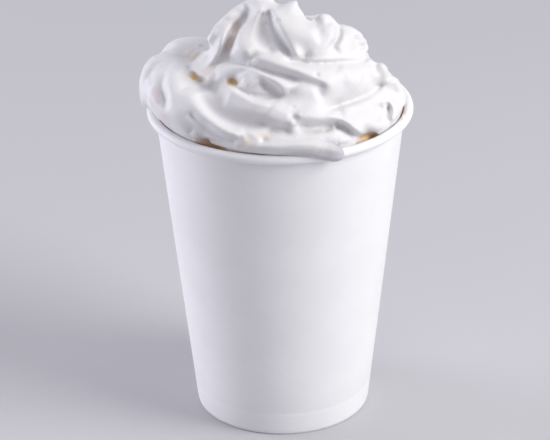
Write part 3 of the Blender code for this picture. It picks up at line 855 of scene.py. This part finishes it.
def held_in_outline(points):
    """Draw whatever stands out past the outline in the front view back to it."""
    marks, depth = seen_at(points)
    curves = [smooth_path(guide, 3) for _, _, guide in OUTLINES]
    line = np.vstack([np.array([OUTLINE_START]), *curves, np.array([OUTLINE_END])])
    best = np.full(len(points), 1e9)
    back = np.zeros(marks.shape)
    outside = np.zeros(len(points), bool)
    for a, b in zip(line, line[1:]):
        run = b - a
        if run @ run < 1e-6:
            continue
        along = np.clip((marks - a) @ run / (run @ run), 0.0, 1.0)
        away = marks - (a + along[:, None] * run)
        gap = (away ** 2).sum(1)
        closer = gap < best
        best = np.where(closer, gap, best)
        back[closer] = -away[closer]
        side = run[0] * (marks[:, 1] - a[1]) - run[1] * (marks[:, 0] - a[0])
        outside = np.where(closer, side < 0.0, outside)
    move = np.where(outside[:, None], back, 0.0) * (depth / VIEW_REACH)[:, None]
    return points + move[:, :1] * np.array(VIEW_SIDE) - move[:, 1:] * np.array(VIEW_TOP)


def points_of(item):
    """Points in mm."""
    points = np.empty(len(item.data.vertices) * 3)
    item.data.vertices.foreach_get("co", points)
    return points.reshape(-1, 3) / MM


def set_points(item, points):
    item.data.vertices.foreach_set("co", (points * MM).ravel())
    item.data.update()


def skin_of(item, ends):
    """Points in mm and calmed normals."""
    item.data.update()
    normals = np.empty(len(item.data.vertices) * 3)
    item.data.vertices.foreach_get("normal", normals)
    normals = eased(normals.reshape(-1, 3), ends, 6)
    return points_of(item), normals / np.linalg.norm(normals, axis=1).clip(0.1)[:, None]


def press_pits(item):
    """Small dents where air bubbles have burst."""
    tree = bvhtree.BVHTree.FromObject(item, bpy.context.evaluated_depsgraph_get())
    points = points_of(item)
    for across, down, radius, depth in PITS:
        place, normal = tree.ray_cast(VIEW_POINT, front_ray(across, down))[:2]
        if place is not None:
            gap = np.linalg.norm(points - np.array(place) / MM, axis=1) / radius
            points -= (depth * np.clip(1.0 - gap ** 2, 0.0, None))[:, None] * np.array(normal)
    set_points(item, points)


def move_skin(item, moved):
    """Set the points in mm, held inside the cup's mouth where they are low."""
    across = np.hypot(moved[:, 0], moved[:, 1])
    above = np.clip(moved[:, 2] - CUP_HEIGHT - MOUTH_FREE, 0.0, None)
    room = BEAD_RADIUS - BEAD + MOUTH_OVER + MOUTH_SPREAD * above
    way = np.degrees(np.arctan2(moved[:, 1], moved[:, 0]))
    for middle, half, depth in RIM_GAPS:
        apart = np.abs((way - middle + 180.0) % 360.0 - 180.0) / half
        room -= depth * np.clip(1.0 - apart ** 2, 0.0, None) ** 1.5
    moved[:, :2] *= np.minimum(1.0, room / across.clip(1.0))[:, None]
    set_points(item, moved)


def raise_folds(item):
    """Push the skin of the rope out into its folds and in at its hollows."""
    ends = np.empty(len(item.data.edges) * 2, dtype=np.int64)
    item.data.edges.foreach_get("vertices", ends)
    ends = ends.reshape(-1, 2)
    points, normals = skin_of(item, ends)
    total = np.zeros(len(points))
    for curve, height, width in all_folds():
        total += fold_rise(points, normals, curve, FOLD_LIFT * height, width) ** MERGE
    facing = (normals * towards_view(points)).sum(1)
    total = total ** (1.0 / MERGE) * np.clip((-facing - 0.02) / 0.3, 0.0, 1.0)
    guides = [(*entry, CREST_POWER, SEARCH_FROM) for entry in CRESTS]
    guides += [(*entry, HOLLOW_POWER, SEARCH_FROM) for entry in HOLLOWS]
    edges = [(name, None, guide, OUTLINE_POWER, far) for name, far, guide in OUTLINES]
    moves = front_relief(item, points, normals, guides + edges, REACH)
    move_skin(item, points + eased(moves + total[:, None] * normals, ends, 2))
    for reach in EDGE_REACHES:
        points, normals = skin_of(item, ends)
        moves = front_relief(item, points, normals, edges, reach)
        move_skin(item, held_in_outline(points + eased(moves, ends, 2)))
    press_pits(item)


def piped_tube(name, centres, sizes):
    """Bevelled path whose thickness follows the sizes, made a mesh."""
    bpy.ops.object.select_all(action="DESELECT")
    bpy.ops.curve.primitive_nurbs_path_add(location=(0, 0, 0))
    path = named(name)
    path.data.splines.clear()
    spline = path.data.splines.new("POLY")
    spline.points.add(len(centres) - 1)
    for point, centre, size in zip(spline.points, centres, sizes):
        point.co = (*(MM * c for c in centre), 1.0)
        point.radius = size
    path.data.bevel_depth = MM
    path.data.bevel_resolution = 6
    path.data.use_fill_caps = True
    bpy.ops.object.convert(target="MESH")
    return bpy.context.object


def close_grooves(cream):
    """Swell, fuse and draw back, so that the turns of the rope meet in shallow grooves."""
    modified(
        cream,
        ("Fuse", "REMESH", voxels(COARSE_VOXEL)),
        ("Swell", "DISPLACE", {"strength": CLOSING * MM, "mid_level": 0.0}),
        ("Join", "REMESH", voxels(COARSE_VOXEL)),
        ("Calm", "SMOOTH", {"factor": 0.5, "iterations": 12}),
        ("Draw_back", "DISPLACE", {"strength": -CLOSING * MM, "mid_level": 0.0}),
        ("Skin", "REMESH", voxels(VOXEL)),
        ("Settle", "SMOOTH", {"factor": 0.5, "iterations": 40}))


def skirt(name):
    """Ring of cream that lies on the drink and meets the cup."""
    path = smooth_path(SKIRT, 4)
    return piped_tube(name, spot(path[:, 0], path[:, 1], path[:, 2]), path[:, 3])


def lip(name):
    """Loose end of the rope: a lip with its crest up and out and its face falling back under it."""
    path = smooth_path(TAIL, 4)
    rings = []
    for way, radius, height, size, roundness in path:
        around = len(LIP_SECTION)
        ring = spot(way, radius, height) * np.ones((around, 1))
        turn = math.radians(way)
        out = np.array([math.cos(turn), math.sin(turn), 0.0])
        for k, (forth, up) in enumerate(LIP_SECTION):
            full = math.hypot(forth, up)
            forth += roundness * (forth / full - forth)
            up += roundness * (up / full - up)
            ring[k] += size * (forth * out + up * np.array([0.0, 0.0, 1.0]))
        rings.append(ring * MM)
    work = bmesh.new()
    loops = [[work.verts.new(p) for p in ring] for ring in rings]
    for low, high in zip(loops, loops[1:]):
        for k in range(len(low)):
            n = (k + 1) % len(low)
            work.faces.new((low[k], low[n], high[n], high[k]))
    work.faces.new(loops[0][::-1])
    work.faces.new(loops[-1])
    bmesh.ops.recalc_face_normals(work, faces=work.faces)
    bpy.ops.object.select_all(action="DESELECT")
    bpy.ops.mesh.primitive_circle_add(vertices=3, radius=MM)
    item = named(name)
    work.to_mesh(item.data)
    work.free()
    return item


def turned_cream(name, profile):
    """Solid of cream turned from a profile of (radius, height above the rim)."""
    outline = [(radius, CUP_HEIGHT + height) for radius, height in profile]
    return ringed(name, outline, CREAM_AROUND, closed_top=True, closed_foot=True)


def whipped_cream(look):
    _, centres, sizes = rope_path()
    rope = piped_tube("whipped_cream_swirl", centres, sizes - np.minimum(FLUTE, FLUTE_SHARE * sizes))
    fill = turned_cream("cream_fill", FILL)
    heart = turned_cream("cream_heart", HEART)
    heart.data.transform(Matrix.Translation((HEART_SHIFT[0] * MM, HEART_SHIFT[1] * MM, 0.0)))
    ring = skirt("cream_skirt")
    only(rope)
    for item in (fill, heart, ring):
        item.select_set(True)
    bpy.ops.object.join()
    cream = bpy.context.object
    close_grooves(cream)
    raise_folds(cream)
    tail = lip("rope_tail")
    only(cream)
    tail.select_set(True)
    bpy.ops.object.join()
    modified(cream, ("Skin", "REMESH", voxels(SKIN_VOXEL)),
             ("Settle", "SMOOTH", {"factor": 0.5, "iterations": 2}))
    trim_to_cup(cream)
    only(cream)
    bpy.ops.object.shade_smooth()
    cream.data.materials.clear()
    cream.data.materials.append(look)
    place_piece(cream, "whipped_cream", "whipped_cream")


def trim_to_cup(cream):
    """Cut away what would pass through the rim or sink deep into the drink."""
    grown = BEAD - INTO_BEAD
    low = LEVEL - SUNK
    outline = [(BEAD_RADIUS - grown - 6.0, low), (BEAD_RADIUS - grown, low)]
    for t in range(180, -91, -10):
        turn = math.radians(t)
        outline.append((BEAD_RADIUS + grown * math.cos(turn), BEAD_HEIGHT + grown * math.sin(turn)))
    outline.append((BEAD_RADIUS, CUP_HEIGHT - CUT_DEPTH))
    cutter = ringed("cup_cutter", outline, closed_top=True, closed_foot=True)
    cut = {"operation": "DIFFERENCE", "solver": "MANIFOLD", "object": cutter}
    modified(cream, ("Trim", "BOOLEAN", cut))
    bpy.data.objects.remove(cutter, do_unlink=True)
    keep_largest(cream)


def keep_largest(item):
    """Drop the crumbs that a cut leaves loose."""
    only(item)
    work = bmesh.new()
    work.from_mesh(item.data)
    seen = set()
    groups = []
    for seed in work.verts:
        if seed in seen:
            continue
        group = [seed]
        seen.add(seed)
        for vert in group:
            for edge in vert.link_edges:
                other = edge.other_vert(vert)
                if other not in seen:
                    seen.add(other)
                    group.append(other)
        groups.append(group)
    groups.sort(key=len)
    for group in groups[:-1]:
        bmesh.ops.delete(work, geom=group, context="VERTS")
    work.to_mesh(item.data)
    work.free()


# ---- stage: camera, light, floor ----
def stage_camera():
    bpy.ops.object.camera_add(location=[c * MM for c in VIEW_PLACE])
    camera = named("camera")
    camera.data.sensor_width = VIEW_SENSOR
    camera.data.lens = VIEW_LENS
    turn = Matrix((VIEW_SIDE, VIEW_TOP, -VIEW_AHEAD)).transposed()
    camera.rotation_euler = turn.to_euler()
    bpy.context.scene.camera = camera


def soft_light(name, place, aim, size, energy, colour):
    bpy.ops.object.light_add(type="AREA", location=place)
    light = named(name)
    light.data.shape = "DISK"
    light.data.size = size
    light.data.energy = energy
    light.data.color = colour
    light.rotation_euler = (Vector(aim) - Vector(place)).to_track_quat("-Z", "Y").to_euler()


def stage_floor():
    bpy.ops.object.select_all(action="DESELECT")
    bpy.ops.mesh.primitive_plane_add(size=6.0, location=(0, 0, 0))
    floor = named("floor")
    made, _, shader = new_material("floor", Roughness=0.6)
    shader.inputs["Base Color"].default_value = (0.55, 0.55, 0.57, 1.0)
    floor.data.materials.append(made)


def stage_light():
    world = bpy.data.worlds.new("studio")
    bpy.context.scene.world = world
    world.use_nodes = True
    back = world.node_tree.nodes["Background"]
    back.inputs[0].default_value = (0.88, 0.865, 0.98, 1.0)
    back.inputs[1].default_value = 0.47
    soft_light("key", (1.05, -0.42, 0.75), (0, 0, 0.10), 0.8, 13.4, (1.0, 0.99, 0.975))
    soft_light("fill", (-1.15, 0.4, 0.22), (0, 0, 0.08), 0.7, 11.4, (0.92, 0.91, 1.0))
    soft_light("overhead", (0.1, 0.1, 1.4), (0, 0, 0.10), 1.0, 4.0, (1.0, 1.0, 1.0))


def main():
    groups = (cloudy_tone_group(), fine_grain_group(), stain_and_shade_patch_group())
    paper = paper_material(groups)
    cream = cream_material(groups)
    coffee = mocha_material(groups)
    paper_cup(paper)
    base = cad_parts["cup_base"]
    for entry in base.material_slots:
        entry.material = paper
    drink(coffee)
    whipped_cream(cream)
    stage_floor()
    stage_light()
    stage_camera()
    bpy.context.scene.view_settings.view_transform = "Standard"


main()
